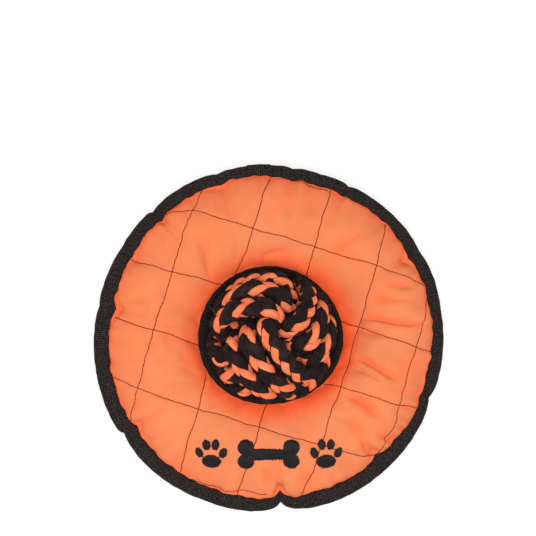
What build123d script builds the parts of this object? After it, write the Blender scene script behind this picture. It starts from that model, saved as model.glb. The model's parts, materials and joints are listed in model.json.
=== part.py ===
from build123d import *
from math import asin, atan2, ceil, cos, degrees, sin, sqrt
import os

# Flying ring: a stuffed fabric ring with a ball of rope seated in its middle.
#
# Millimetres, +Z up. The ring lies on its underside. The origin is on the
# ground, in the middle of the ring. The rope ball turns about Z in its collar.
#
# The ring is two quilted covers, sewn together at the rim and at the collar,
# with folded webbing over both seams. A ring of fibre filling lies between
# them. The ball is three crossing wraps of rope round a core.

# ---------------------------------------------------------------- ring
ring_diameter = 210.0       # over the rim webbing
rim_height = 16.0           # the rim's seam, above the ground
collar_height = 20.5        # the collar's seam: the ball lifts it a little
crown_radius = 66.0         # the circle where the filling stands highest
crown_height = 34.0         # top of the stuffed ring, above the ground
sag_depth = 1.5             # how far the underside's crown is pressed flat

# --------------------------------------------------------------- plies
cover_thickness = 0.8
backing_room = 0.5          # between a cover and its lining
lining_thickness = 0.3
ply_clearance = 0.05        # between plies that lie against each other
edge_margin = 0.3           # a cover starts to rise this far from the webbing

# ------------------------------------------------------------- webbing
webbing_thickness = 0.9
rim_webbing_width = 9.0     # as folded over the edge
collar_webbing_width = 9.0  # as folded over the edge
webbing_clearance = 0.1     # between the webbing and the plies it holds

# ------------------------------------------------------------- threads
seam_thread_width = 0.8
seam_thread_height = 0.4
seam_inset = 1.8            # from the webbing's open edge to its seam
quilt_thread_width = 0.6
quilt_thread_height = 0.2
thread_clearance = 0.05     # between a thread and what it lies in
quilt_angle = -17.0         # of the rows that run across, from X
quilt_across_pitch = 36.9
quilt_across_start = 20.0   # the row above the ring's middle
quilt_along_pitch = 38.8
quilt_along_start = 8.7     # the row right of the ring's middle
shortest_quilt_row = 14.0   # a shorter row isn't sewn

# ---------------------------------------------------------- embroidery
motif_x = -2.0
motif_inset = 34.5          # from the rim's fold to the motif's middle
embroidery_height = 0.8
paw_spacing = 34.5          # from the bone's middle to a paw's middle
paw_pad_size = (11.4, 9.0)
paw_pad_drop = 4.6          # the pad's middle under the paw's middle
toe_size = (4.6, 6.8)
toe_places = ((-7.2, 0.8, 24.0), (-2.7, 5.8, 8.0), (2.7, 5.8, -8.0), (7.2, 0.8, -24.0))
bone_length = 37.0
bone_shaft_width = 7.0
bone_knob_radius = 4.9
bone_knob_spread = 8.4      # between the two knobs of one end
backing_length = 100.0
backing_width = 30.0
backing_thickness = 0.3

# ---------------------------------------------------------------- ball
ball_diameter = 75.0
ball_clearance = 0.3        # between the ball and its collar
rope_diameter = 9.0
turns_per_wrap = 3
turn_spacing = 12.0         # between neighbouring turns of a wrap
turn_clearance = 0.2        # between a turn and one that crosses it
core_clearance = 0.2
ball_roll = -18.0           # the wraps' pattern, turned about Z
ball_tilt = 16.0            # the wraps' corner, leaned away from Z
ball_tilt_heading = 45.0    # towards this side, from X

# ----------------------------------------------- worked out from these
half_stack = ply_clearance + lining_thickness + backing_room + cover_thickness
half_slot = half_stack + webbing_clearance
half_binding = half_slot + webbing_thickness
ball_radius = ball_diameter / 2
collar_drop = ball_radius - collar_height
fold_reach = ball_radius + ball_clearance + half_binding
collar_hole_radius = sqrt(fold_reach**2 - collar_drop**2) - half_binding
collar_edge_radius = collar_hole_radius + collar_webbing_width
rim_radius = ring_diameter / 2
rim_edge_radius = rim_radius - rim_webbing_width
motif_y = motif_inset - rim_radius
flange_start = collar_hole_radius + half_binding
flange_end = rim_radius - half_binding
lining_depth = cover_thickness + backing_room
outer_rope_level = ball_radius - rope_diameter / 2
last_turn_offset = turn_spacing * (turns_per_wrap - 1) / 2
last_turn_level = sqrt(outer_rope_level**2 - last_turn_offset**2)
inner_rope_level = last_turn_level - rope_diameter - turn_clearance
TOP = 1
UNDER = -1


def crown_arc(side, foot_radius, foot_height):
    """Centre height and radius of the arc from a cover's foot up to its crown."""
    crown = crown_height if side == TOP else -sag_depth
    run = abs(crown_radius - foot_radius)
    rise = abs(crown - foot_height)
    radius = (run**2 + rise**2) / (2 * rise)
    return crown - side * radius, radius


def offset_arc(side, depth, seam_height, foot_radius, inward):
    """One arc of the surface that lies a depth under a cover's face.

    Returns its foot, a point along it and its end at the crown, as (radius, height).
    """
    foot_height = seam_height + side * half_stack
    centre, radius = crown_arc(side, foot_radius, foot_height)
    radius -= depth
    foot_rise = side * (foot_height - side * depth - centre)
    crown_rise = radius if side == TOP else min(radius, centre - depth)
    first = asin(foot_rise / radius)
    last = asin(crown_rise / radius)
    points = []
    for angle in (first, (first + last) / 2, last):
        out = radius * cos(angle)
        points.append((crown_radius + inward * out, centre + side * radius * sin(angle)))
    return points


def crown_curve(side, depth):
    """The surface a depth under a cover's face, from the collar to the rim."""
    rise = offset_arc(side, depth, collar_height, collar_edge_radius + edge_margin, -1)
    fall = offset_arc(side, depth, rim_height, rim_edge_radius - edge_margin, 1)
    edges = [ThreePointArc(*rise)]
    if side == UNDER:
        edges.append(Line(rise[2], fall[2]))
    edges.append(ThreePointArc(*reversed(fall)))
    return edges, rise[0], fall[0]


def ring_of(edges):
    """A closed outline of (radius, height), turned about Z."""
    return revolve(Plane.XZ * make_face(edges), Axis.Z)


def ply(side, outer_depth, inner_depth):
    """One ply of fabric, with the flat hems that the two bindings hold."""
    outer, outer_foot, outer_end = crown_curve(side, outer_depth)
    inner, inner_foot, inner_end = crown_curve(side, inner_depth)
    hem = [(flange_start, outer_foot[1]), (flange_start, inner_foot[1])]
    far_hem = [(flange_end, outer_end[1]), (flange_end, inner_end[1])]
    edges = outer + inner
    edges += Polyline(outer_foot, *hem, inner_foot).edges()
    edges += Polyline(outer_end, *far_hem, inner_end).edges()
    return ring_of(edges)


def skin(side, outer_depth, inner_depth):
    """The crowned part of a ply alone, without its hems."""
    outer, outer_foot, outer_end = crown_curve(side, outer_depth)
    inner, inner_foot, inner_end = crown_curve(side, inner_depth)
    closing = [Line(outer_foot, inner_foot), Line(outer_end, inner_end)]
    return ring_of(outer + inner + closing)


def stuffing_ring():
    """The fibre filling between the two linings, down to the seams."""
    upper, upper_foot, upper_end = crown_curve(TOP, half_stack)
    lower, lower_foot, lower_end = crown_curve(UNDER, half_stack)
    closing = [Line(upper_foot, lower_foot), Line(upper_end, lower_end)]
    return ring_of(upper + lower + closing)


def binding(fold_radius, width, seam_height, inward):
    """Webbing folded over an edge: a U of even thickness, open towards the filling."""
    bend = fold_radius - inward * half_binding
    open_edge = fold_radius - inward * width
    middle = (bend + open_edge) / 2
    length = abs(bend - open_edge)
    around = Pos(middle, seam_height) * Rectangle(length, 2 * half_binding)
    around += Pos(bend, seam_height) * Circle(half_binding)
    slot = Pos(middle, seam_height) * Rectangle(length, 2 * half_slot)
    slot += Pos(bend, seam_height) * Circle(half_slot)
    return revolve(Plane.XZ * (around - slot), Axis.Z)


def seam_thread(open_edge, seam_height, inward, side):
    """The thread of a seam, where it lies on one face of the webbing."""
    radius = open_edge + inward * seam_inset
    height = seam_height + side * (half_binding + thread_clearance + seam_thread_height / 2)
    section = Pos(radius, height) * Rectangle(seam_thread_width, seam_thread_height)
    return revolve(Plane.XZ * section, Axis.Z)


def quilt_rows(start, pitch):
    """Distances of one direction's rows from the ring's middle."""
    reach = sqrt(rim_edge_radius**2 - (shortest_quilt_row / 2) ** 2)
    first = ceil((-reach - start) / pitch)
    rows = []
    while start + first * pitch < reach:
        rows.append(start + first * pitch)
        first += 1
    return rows


def row_walls(start, pitch, angle, width):
    """Upright walls as thin as a thread, one along each row of the quilting."""
    height = 2 * crown_height
    wall = Box(ring_diameter, width, 2 * height)
    return [Rot(0, 0, angle) * Pos(0, row, 0) * wall for row in quilt_rows(start, pitch)]


def sewn_rows(layer, walls):
    """What the walls cut out of a layer: a separate solid for each run of thread."""
    pieces = []
    for wall in walls:
        pieces += (layer & wall).solids()
    return pieces


def quilted_cover(side):
    """A cover with its two directions of quilting thread, pressed into its face."""
    across = (quilt_across_start, quilt_across_pitch, quilt_angle)
    along = (-quilt_along_start, quilt_along_pitch, quilt_angle + 90)
    groove_width = quilt_thread_width + 2 * thread_clearance
    upper_depth = thread_clearance + quilt_thread_height
    lower_top = upper_depth + thread_clearance
    lower_depth = lower_top + quilt_thread_height
    upper_layer = skin(side, thread_clearance, upper_depth)
    lower_layer = skin(side, lower_top, lower_depth)
    along_rows = sewn_rows(upper_layer, row_walls(*along, quilt_thread_width))
    across_rows = sewn_rows(lower_layer, row_walls(*across, quilt_thread_width))
    upper_groove = skin(side, -thread_clearance, upper_depth + thread_clearance / 2)
    lower_groove = skin(side, -thread_clearance, lower_depth + thread_clearance)
    cover = ply(side, 0, cover_thickness)
    for wall in row_walls(*along, groove_width):
        cover -= upper_groove & wall
    for wall in row_walls(*across, groove_width):
        cover -= lower_groove & wall
    return cover, Compound(along_rows), Compound(across_rows)


def paw_outline():
    """A paw print: a pad and four toes."""
    shapes = [Pos(0, -paw_pad_drop) * Ellipse(paw_pad_size[0] / 2, paw_pad_size[1] / 2)]
    for x, y, lean in toe_places:
        shapes.append(Pos(x, y) * Rot(0, 0, lean) * Ellipse(toe_size[0] / 2, toe_size[1] / 2))
    return shapes


def bone_outline():
    """A bone: a shaft with two round knobs at each end."""
    reach = bone_length / 2 - bone_knob_radius
    bone = Rectangle(2 * reach, bone_shaft_width)
    for x in (-reach, reach):
        for y in (-bone_knob_spread / 2, bone_knob_spread / 2):
            bone += Pos(x, y) * Circle(bone_knob_radius)
    return bone


def motif_embroidery():
    """A paw, a bone and a paw in raised stitching on the top cover."""
    shapes = [bone_outline()]
    for x in (-paw_spacing, paw_spacing):
        shapes += [Pos(x, 0) * shape for shape in paw_outline()]
    layer = skin(TOP, -thread_clearance - embroidery_height, -thread_clearance)
    pieces = []
    for shape in shapes:
        column = extrude(Pos(motif_x, motif_y) * shape, 2 * crown_height)
        pieces += (layer & column).solids()
    return Compound(pieces)


def embroidery_backing():
    """The stiff fabric behind the embroidery, between the cover and its lining."""
    clear = (backing_room - backing_thickness) / 2
    outer_depth = cover_thickness + clear
    layer = skin(TOP, outer_depth, outer_depth + backing_thickness)
    sheet = Pos(motif_x, motif_y) * Rectangle(backing_length, backing_width)
    return layer & extrude(sheet, 2 * crown_height)


def rope_turn(offset, long_way, short_way):
    """One closed turn of rope round the ball's middle, as a rounded rectangle.

    At its long ends it lies over the turns that it crosses, and at its short ends under them.
    """
    half_length = sqrt(outer_rope_level**2 - offset**2)
    bend = rope_diameter + turn_clearance * 2
    outline = RectangleRounded(2 * half_length, 2 * inner_rope_level, bend).wire()
    across = long_way.cross(short_way)
    path = Plane(origin=across * offset, x_dir=long_way, z_dir=across) * outline
    start = path.edges()[0]
    section = Plane(origin=start @ 0, z_dir=start % 0) * Circle(rope_diameter / 2)
    turn = sweep(section, path)
    return turn & Sphere(ball_radius)


def rope_wrap(long_way, short_way):
    """The turns of one wrap, side by side."""
    turns = []
    for index in range(turns_per_wrap):
        offset = (index - (turns_per_wrap - 1) / 2) * turn_spacing
        turns += rope_turn(offset, long_way, short_way).solids()
    return Compound([ball_place() * turn for turn in turns])


def ball_place():
    """Stands the ball on a corner of its three wraps, resting on the ground."""
    corner_up = Rot(0, degrees(-atan2(sqrt(2), 1)), 0) * Rot(0, 0, -45)
    first_heading = Rot(0, 0, ball_roll - 150)
    heading = Rot(0, 0, ball_tilt_heading)
    lean = heading * Rot(0, ball_tilt, 0) * Rot(0, 0, -ball_tilt_heading)
    return Pos(0, 0, ball_radius) * lean * first_heading * corner_up


def ball_core():
    """The ball inside the rope, touched by every wrap's inner turns."""
    core_radius = inner_rope_level - rope_diameter / 2 - core_clearance
    return Pos(0, 0, ball_radius) * Sphere(core_radius)


def rim_pieces():
    """The webbing and the seam at the rim."""
    seam = (rim_edge_radius, rim_height, 1)
    return {
        "rim_binding": binding(rim_radius, rim_webbing_width, rim_height, 1),
        "rim_needle_thread": seam_thread(*seam, TOP),
        "rim_bobbin_thread": seam_thread(*seam, UNDER),
    }


def collar_pieces():
    """The webbing and the seam round the middle hole."""
    seam = (collar_edge_radius, collar_height, -1)
    return {
        "collar_binding": binding(collar_hole_radius, collar_webbing_width, collar_height, -1),
        "collar_needle_thread": seam_thread(*seam, TOP),
        "collar_bobbin_thread": seam_thread(*seam, UNDER),
    }


def fabric_pieces():
    """The covers, their linings, the quilting, the embroidery and the filling."""
    top_cover, top_along, top_across = quilted_cover(TOP)
    bottom_cover, bottom_along, bottom_across = quilted_cover(UNDER)
    return {
        "top_cover": top_cover,
        "top_quilting_along": top_along,
        "top_quilting_across": top_across,
        "top_lining": ply(TOP, lining_depth, lining_depth + lining_thickness),
        "bottom_cover": bottom_cover,
        "bottom_quilting_along": bottom_along,
        "bottom_quilting_across": bottom_across,
        "bottom_lining": ply(UNDER, lining_depth, lining_depth + lining_thickness),
        "motif_embroidery": motif_embroidery(),
        "embroidery_backing": embroidery_backing(),
        "stuffing_ring": stuffing_ring(),
    }


def ball_pieces():
    """The core and the three wraps, each long across one way and short across the next."""
    first, second, third = Vector(1, 0, 0), Vector(0, 1, 0), Vector(0, 0, 1)
    return {
        "ball_core": ball_core(),
        "rope_wrap_first": rope_wrap(second, first),
        "rope_wrap_second": rope_wrap(first, third),
        "rope_wrap_third": rope_wrap(third, second),
    }


os.makedirs("parts", exist_ok=True)
pieces = {**fabric_pieces(), **rim_pieces(), **collar_pieces(), **ball_pieces()}
for node, shape in pieces.items():
    export_step(shape, f"parts/{node}.step")
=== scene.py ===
"""A soft flying ring: quilted orange cloth, black webbing, and a ball of braided rope in its middle.

Lengths are millimetres in the CAD model's frame, and become metres when a mesh is made.
Headings are degrees from +X, as seen from above.
"""

import json
from collections import namedtuple
from math import cos, pi, radians, sin, sqrt, tanh

import bpy
import numpy as np
from mathutils import Euler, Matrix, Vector


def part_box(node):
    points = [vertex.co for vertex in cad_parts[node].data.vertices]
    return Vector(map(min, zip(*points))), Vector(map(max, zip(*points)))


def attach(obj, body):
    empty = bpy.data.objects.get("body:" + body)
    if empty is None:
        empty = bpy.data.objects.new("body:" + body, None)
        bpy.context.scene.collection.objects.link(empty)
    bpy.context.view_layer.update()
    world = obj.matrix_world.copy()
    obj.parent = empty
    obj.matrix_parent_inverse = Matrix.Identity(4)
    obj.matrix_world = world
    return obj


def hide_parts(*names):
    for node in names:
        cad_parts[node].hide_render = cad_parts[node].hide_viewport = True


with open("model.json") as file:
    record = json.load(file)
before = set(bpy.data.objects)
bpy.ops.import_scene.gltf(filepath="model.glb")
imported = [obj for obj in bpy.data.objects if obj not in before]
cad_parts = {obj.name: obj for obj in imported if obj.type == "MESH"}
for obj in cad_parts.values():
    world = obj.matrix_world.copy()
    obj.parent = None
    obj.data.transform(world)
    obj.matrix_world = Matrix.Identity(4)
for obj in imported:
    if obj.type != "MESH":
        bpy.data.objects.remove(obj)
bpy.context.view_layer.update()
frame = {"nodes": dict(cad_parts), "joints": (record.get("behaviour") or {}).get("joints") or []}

MM = 0.001
scene = bpy.context.scene


def box_mm(node):
    """A CAD node's lowest and highest corners."""
    low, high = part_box(node)
    return np.array(low) / MM, np.array(high) / MM


# ----- sizes from the frame
rim_low, rim_high = box_mm("rim_binding")
collar_low, collar_high = box_mm("collar_binding")
RIM_RADIUS = rim_high[0]
RIM_HEIGHT = (rim_low[2] + rim_high[2]) / 2
HALF_BINDING = (rim_high[2] - rim_low[2]) / 2
COLLAR_RADIUS = collar_high[0]
COLLAR_HEIGHT = (collar_low[2] + collar_high[2]) / 2
CROWN_HEIGHT = box_mm("top_cover")[1][2]
BALL_CENTRE = np.array(frame["joints"][0]["pos_m"]) / MM
BALL_RADIUS = BALL_CENTRE[2]

# ----- cloth and webbing
TOP, UNDER = 1, -1  # the side that a cover faces
AROUND = 760  # columns of every ring-shaped mesh
RISE_ROWS = 24  # rows from the collar up to the crown
FALL_ROWS = 32  # rows from the crown down to the rim
CLOTH = 0.8  # a cover's thickness
LINING = 0.3
LINING_GAP = 0.5  # between a cover and its lining
WEBBING = 0.9
HALF_SLOT = HALF_BINDING - WEBBING
FILLING_DEPTH = HALF_SLOT - 0.15  # how deep under a cover's face the filling starts
PLY_GAP = 0.1  # between webbing and cover
TUCK = 0.1  # how far a cover's face reaches in under the webbing
TAPE_SWELL = 0.6  # how far a flap of webbing bulges between its two edges
FLAP_POINTS = 9  # across each flap of webbing, and round its fold
EDGE_ROUNDING = 0.18  # how far the open edges of the webbing's outer face are set back
CROWN_RADIUS = 66.0  # where the filling stands highest
SAG = 1.5  # how far the underside would hang below the ground, if it could
GROUND_ROUNDING = 0.5  # square millimetres: how softly the underside turns flat on the ground
THREAD_ROOM = 0.3  # what the stitches stand out of the cloth, down to the ground
RIM_OPENING = 1.1  # the filling wedges the rim's webbing open by this much
COLLAR_OPENING = 1.6
HELD_REACH = 2.5  # how far from its edge the webbing holds the cloth smooth
HELD_START = 0.35  # how free the cloth already is at that edge, on the same rise
BALL_GAP = 0.35  # between the ball and the collar's fold

# Outlines swell and shrink round the ring in lobes, as (count, size, heading).
RIM_SWELL = 0.85
RIM_LOBES = ((1, 2.86, 229.0), (2, 0.35, 22.0), (4, 0.55, 29.0))
RIM_FLAP = 8.4  # the webbing's mean width at the rim
RIM_FLAP_LOBES = ((1, 1.1, 236.0), (3, 0.3, 309.0))
COLLAR_TRIM = 0.45  # how much smaller the collar is than in the frame
COLLAR_LOBES = ((1, -1.07, 0.0), (1, 0.17, 90.0), (2, 1.05, 0.0), (3, 0.5, -17.0))

# Where the seam drew the webbing in: the fold and the open edge both dip towards the middle.
Pinch = namedtuple("Pinch", "heading fold_depth edge_depth before after")
PINCHES = (
    Pinch(9, 0.8, 0.7, 8.0, 8.0),
    Pinch(30, 1.4, 2.4, 3.5, 4.0),
    Pinch(63, 1.2, 0.6, 2.0, 1.2),
    Pinch(73, 0.6, 0.3, 3.0, 3.0),
    Pinch(83, 1.1, 0.7, 2.2, 1.2),
    Pinch(109, 1.4, 1.0, 3.0, 1.6),
    Pinch(134, 1.8, 1.6, 3.0, 0.9),
    Pinch(149, 0.6, 0.8, 4.0, 4.0),
    Pinch(170, 1.0, 2.4, 2.6, 3.2),
    Pinch(213.3, 2.6, 2.2, 0.9, 4.5),
    Pinch(248, 0.5, 0.2, 4.0, 4.0),
    Pinch(311, 0.2, 2.3, 2.6, 2.6),
    Pinch(338.5, 2.6, 0.8, 3.4, 2.6),
)
PINCH_MOST = 2.6  # the deepest that a pinch pulls the cloth beside it
# Where the webbing lies narrower than elsewhere: (heading, how much, over how many degrees).
NARROWS = ((331.0, 1.7, 9.0), (98.0, 1.1, 9.0), (3.0, 0.9, 7.0), (288.0, -0.8, 8.0), (48.0, 0.5, 6.0))
NOTCH_HEADING = 273.0
NOTCH_DEPTH = 7.8
NOTCH_EDGE_DEPTH = 6.0
NOTCH_WIDTH = 3.0  # degrees
NOTCH_EDGE_WIDTH = 1.5
NOTCH_CREASE = 2.6  # how deep the webbing folds down at the notch

# Creases of the top cover, from one place to another. The steep share is how much narrower a crease
# is on its steep side.
Crease = namedtuple("Crease", "x0 y0 x1 y1 depth half_width steep", defaults=(0.9,))
CREASES = (
    Crease(48, 9.4, 99, 7.4, 3.0, 2.3, steep=0.3),
    Crease(64, 31.5, 89, 28.5, 1.6, 2.6),
    Crease(54, 20.8, 88, 23.4, 1.6, 2.6),
    Crease(42, 3.4, 71, 0.0, 1.3, 2.2),
    Crease(44, -11.5, 81, -27.5, 3.1, 2.8, steep=0.4),
    Crease(44, -18.5, 70, -28, 2.0, 2.4, steep=0.5),
    Crease(40, -34, 66, -47.5, 2.2, 2.8, steep=0.5),
    Crease(50, -43, 72, -52.5, 1.5, 3.0),
    Crease(36, -47, 60, -60, 1.5, 3.0, steep=0.7),
    Crease(32, 46.5, 57, 66, 1.2, 3.6),
    Crease(33, 40, 54, 54, 1.0, 3.4),
    Crease(-43, 5.5, -70, 8, 1.0, 2.8),
    Crease(-44, 0.5, -72, 3, 0.8, 3.0),
    Crease(-95, 19, -72, 22, 1.2, 2.8),
    Crease(-96, 8, -74, 7, 0.9, 2.8),
    Crease(-46, 62, -35, 33, 1.9, 3.6, steep=0.6),
    Crease(0, 84, -3, 60, 0.8, 4.0),
    Crease(-8, 47.5, 11, 49.5, 1.2, 2.0),
    Crease(-68, 72.5, -55, 61, 1.5, 2.3, steep=0.6),
    Crease(-64, -16.5, -44, -23, 0.7, 3.2),
    Crease(-5.2, -78, -2, -94, 1.1, 2.6, steep=0.6),
    Crease(19, -80, 17.5, -94, 0.8, 2.8),
    Crease(36, -80, 36, -92, 0.7, 2.8),
    Crease(62, -59, 75, -67.5, 1.9, 1.7, steep=0.6),
    Crease(72, -53, 84, -61, 1.5, 1.7),
    Crease(76, -42.5, 88, -46.5, 1.2, 2.0),
    Crease(61, -75, 56, -63, 1.3, 2.0),
    Crease(86, 34, 73, 28.5, 0.8, 2.2),
    Crease(72, 64, 61, 53.5, 1.0, 2.4),
    Crease(-88, -43, -75, -36.5, 0.8, 2.4),
)
CREASE_LIP = 0.3  # how high the cloth stands beside a crease, as a share of its depth
CREASE_WANDER = 1.2  # how far a crease strays from its straight line

# Painted shade: the cloth's colour is painted deeper and redder where shade falls, in the hollow beside
# the ball, right beside the rim's webbing, on the slope down to it, and in creases. The lobes paint it
# deeper on one side of the ring, where less light falls.
HOLLOW = 19.0  # how far from the collar the hollow reaches
HOLLOW_SHADE = 0.86
HOLLOW_SHADE_LOBES = ((1, 0.17, -30.0),)
SEAM_SHADE = 0.38
SEAM_SHADE_REACH = 2.0
SLOPE_SHADE = 0.2
SLOPE_SHADE_LOBES = ((1, 0.18, 115.0),)
SLOPE_SHADE_REACH = 14.0
FULL_CREASE = 3.0  # shallower creases than this show more than their share
FOLD_SHADE = 0.16  # painted shade for each millimetre of a full crease
FOLD_SHADE_MOST = 0.8

# The cover is cut a little larger than its filling, and a cloth simulation settles the slack.
SLACK_COLUMNS = 4  # the simulation takes every fourth column of a face
SLACK_ROWS = 2  # and every second row
SLACK_SCALE = 0.01  # it runs in decimetres, the size that its own settings suit
SLACK_FRAMES = 20
SLACK_GROWTH = 0.03  # how much larger the cloth is cut, as a share of its length
SLACK_PRESSURE = 0.1
SLACK_MASS = 0.05
SLACK_MOST = 1.2  # how far the cloth may move
SLACK_FINEST = 80  # wrinkles round the ring finer than this are smoothed away

# ----- sewing
QUILT_HEADING = -17.0
# A row's place, where it starts and ends along itself, how it bends away from its start, and how
# far its first stitches hook in.
Row = namedtuple("Row", "place start end bend hook", defaults=(-RIM_RADIUS, RIM_RADIUS, 0.0, 0.0))
QUILT_ACROSS = (Row(-100.9, -22.0, 28.0, 0.0025), Row(-54.0), Row(-17.0), Row(19.9),
                Row(58.7, -89.0, hook=7.0), Row(97.5, -18.0, 7.5))
QUILT_ALONG = (Row(-68.8), Row(-29.8), Row(8.5), Row(47.4), Row(86.4))
HOOK_LENGTH = 22.0
QUILT_STITCH = 2.8
QUILT_THREAD = 0.55
QUILT_JITTER = 0.32
QUILT_DENT = 0.35
QUILT_DENT_WIDTH = 1.3
QUILT_SHARES = np.array([0.0, 0.05, 0.25, 0.5, 0.75, 0.95, 1.0]) * 0.99  # shares of a stitch
QUILT_LIFTS = np.array([-0.2, 0.0, 0.1, 0.13, 0.1, 0.0, -0.2])
QUILT_SPARE = 0.5  # how far the rows run on under the webbing
SEAM_STITCH = 2.6
SEAM_THREAD = 0.7
SEAM_SHARES = np.array([0.0, 0.1, 0.35, 0.65, 0.9, 1.0]) * 0.86
SEAM_LIFTS = np.array([-0.35, 0.05, 0.2, 0.2, 0.05, -0.35])
SEAM_SWAY = 0.12
SEAM_POINT = 2  # a seam lies this many points in from the webbing's open edge
LAP_START = 90.6  # headings between which the webbing's end lies over its start
LAP_END = 98.5
LAP_LAYER = 0.55  # how far the end stands off what it lies over
LOOSE_ENDS = 7  # thread ends beside the rim's seam
LOOSE_HEADING = 201.0
LOOSE_THREAD = 0.35

# ----- embroidery, in flat-cloth places
MOTIF_PLACE = (-2.0, -70.5)
PAW_SPACING = 34.5
Oval = namedtuple("Oval", "x y half_wide half_tall lean")
PAW = (
    Oval(0.0, -4.6, 5.7, 4.5, 0.0),
    Oval(-7.2, 0.8, 2.3, 3.4, 24.0),
    Oval(-2.7, 5.8, 2.3, 3.4, 8.0),
    Oval(2.7, 5.8, 2.3, 3.4, -8.0),
    Oval(7.2, 0.8, 2.3, 3.4, -24.0),
)
BONE_HALF_LENGTH = 18.5
BONE_HALF_SHAFT = 3.5
KNOB_RADIUS = 4.9
KNOB_RISE = 4.2  # from the bone's middle line to a knob's middle
SATIN_PITCH = 0.42
SATIN_THREAD = 0.52
SATIN_HEIGHT = 0.75  # how far the thickest stitches stand off the cloth
SATIN_FULL = 5.0  # stitches shorter than this stand lower
SATIN_SHARES = np.array([0.0, 0.06, 0.2, 0.5, 0.8, 0.94, 1.0])
SATIN_RAGGED = 0.35  # how unevenly they end
SATIN_LAP = 0.9  # how far two stitches that meet pass each other
BACKING_HALF_SIZE = (50.0, 15.0)
BACKING_DEPTH = 0.9
BACKING_THICKNESS = 0.3

# ----- ball
OUTER_LEVEL = 33.4  # middle of a turn where it lies over the others
INNER_LEVEL = 23.4  # and where it passes under them
OVER_END = 33.0  # degrees from the wrap's crest to where a turn starts to dive
UNDER_START = 57.0  # and to where it is down
TURN_OFFSETS = (-12.0, 0.0, 12.0)
BRAID_STEPS = 240  # points along a strand, and round it
STRAND_SIDES = 14
STRANDS_EACH_WAY = 4
BRAID_PITCH = 40.0  # one strand's way once round the rope
BRAID_HALF_WIDTH = 3.5  # of the strands' paths round the rope's middle
BRAID_HALF_HEIGHT = 2.2
BRAID_WEAVE = 0.55  # how much a strand moves out over another, and in under it
BRAID_SPREAD = 0.14  # and how much it moves sideways
BRAID_SNAP = 1.2  # how quickly it changes from one to the other
STRAND_HALF_WIDTH = 2.55
STRAND_HALF_HEIGHT = 1.45
STRAND_UNEVEN = 0.05
STRAND_PUFF = 0.16  # how much fuller a strand is where it lies over, and thinner under
BLACK_FULLNESS = 1.22  # the black yarn is a little thicker than the orange
ORANGE_FULLNESS = 0.8
FIBRE_STRETCH = 9.0  # how much longer a streak of the yarn is than it is wide
FIBRE_TWIST = 45.0  # millimetres for one turn of the yarn's own twist
FUZZ_PER_STRAND = {"black": 115, "orange": 34}  # loose fibre ends
FUZZ_LENGTH = 2.6
FUZZ_WIDTH = 0.07
WISP_LENGTH = 11.0
WISP_WIDTH = 0.18
WISP_CLEARANCE = 9.0  # how far above the collar the pulled wisps stay
PRESS_DEPTH = 1.6  # the depth of rope that the collar and the ground press flatter
GRIP = 0.7  # how far the collar squeezes the rope into its gaps
GRIP_REACH = 5.0  # and how far above and below itself
GRIP_DEPTHS = (26.0, 32.0)  # distances from the ball's middle between which the grip takes hold
SWELL_START = 4.0  # the rope swells out from this far above the collar
SWELL_RISE = 10.0
SWELL_X = 0.03  # how much the rope swells out above that
SWELL_Y = 0.07
BALL_TURNS = (68.0, -26.5, 123.8)  # about X, then Y, then Z

# The way to a wrap's crest, the way that its turns run there, and how far they are spun about it.
# One of its turns shows its colours side by side: the black strands all run the given way.
Wrap = namedtuple("Wrap", "name crest run spin split_turn black_way")
WRAPS = (
    Wrap("first", (0, 1, 0), (-1, 0, 0), 7.0, 2, -1),
    Wrap("second", (1, 0, 0), (0, 0, -1), -13.0, 0, 1),
    Wrap("third", (0, 0, 1), (0, -1, 0), 2.0, 2, -1),
)

# ----- the picture
CAMERA_PLACE = (-2.4, 41.0, 1600.0)
VIEW_WIDTH = 324.0  # what the camera takes in at the rim's height
SENSOR = 36.0
WORLD_LIGHT = 0.62
FLOOR_REACH = 3.0  # metres from the middle to the floor's edge
FLOOR_WHITE = 0.78  # the share of the open floor's brightness that is its own white
FLOOR_DARK = (0.65, 0.9)  # shares of the rim's radius between which the floor turns dark
# Soft lamps, as (name, place in metres, width in metres, watts).
LAMPS = (
    ("overhead_softbox", (0.02, -0.2, 1.5), 0.8, 17.8),
    ("left_softbox", (-1.2, -0.2, 1.0), 0.8, 6.0),
    ("right_softbox", (1.2, -0.3, 1.0), 0.8, 4.0),
)


# ===== numbers and lines
def unit(vectors):
    """The same directions, one long."""
    return vectors / np.linalg.norm(vectors, axis=-1, keepdims=True)


def ease(value):
    """0 below 0, 1 above 1, and a smooth step between."""
    value = np.clip(value, 0, 1)
    return value * value * (3 - 2 * value)


def bell(off, width):
    """1 where the offset is 0, falling away smoothly on both sides."""
    return np.exp(-((off / width) ** 2))


def fade(distance, reach):
    """1 where the distance is 0, dying away over about this reach."""
    return np.exp(-distance / reach)


def off_heading(turn, heading):
    """How far angles in radians lie from a heading, in degrees from -180 to 180."""
    return (np.degrees(turn) - heading + 180) % 360 - 180


def lobed(turn, middle, lobes):
    """A value that swells and shrinks round the ring in a few low lobes."""
    value = np.full_like(turn, middle)
    for count, size, heading in lobes:
        value += size * np.cos(count * (turn - radians(heading)))
    return value


def ripple(turn, counts, seed):
    """A gentle wave round the ring, between about -1 and 1, made of a few whole counts."""
    random = np.random.default_rng(seed)
    total = np.zeros_like(turn)
    for count in counts:
        total += random.uniform(0.6, 1.0) * np.sin(count * turn + random.uniform(0, 2 * pi))
    return total / sqrt(len(counts))


def waves(x, y, length, seed, count=9):
    """Soft unevenness of about this wavelength over a plane, between about -1 and 1."""
    random = np.random.default_rng(seed)
    total = np.zeros_like(x)
    for _ in range(count):
        heading = random.uniform(0, 2 * pi)
        scale = 2 * pi / (length * random.uniform(0.7, 1.5))
        total += np.sin(scale * (x * cos(heading) + y * sin(heading)) + random.uniform(0, 2 * pi))
    return total / sqrt(count)


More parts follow.
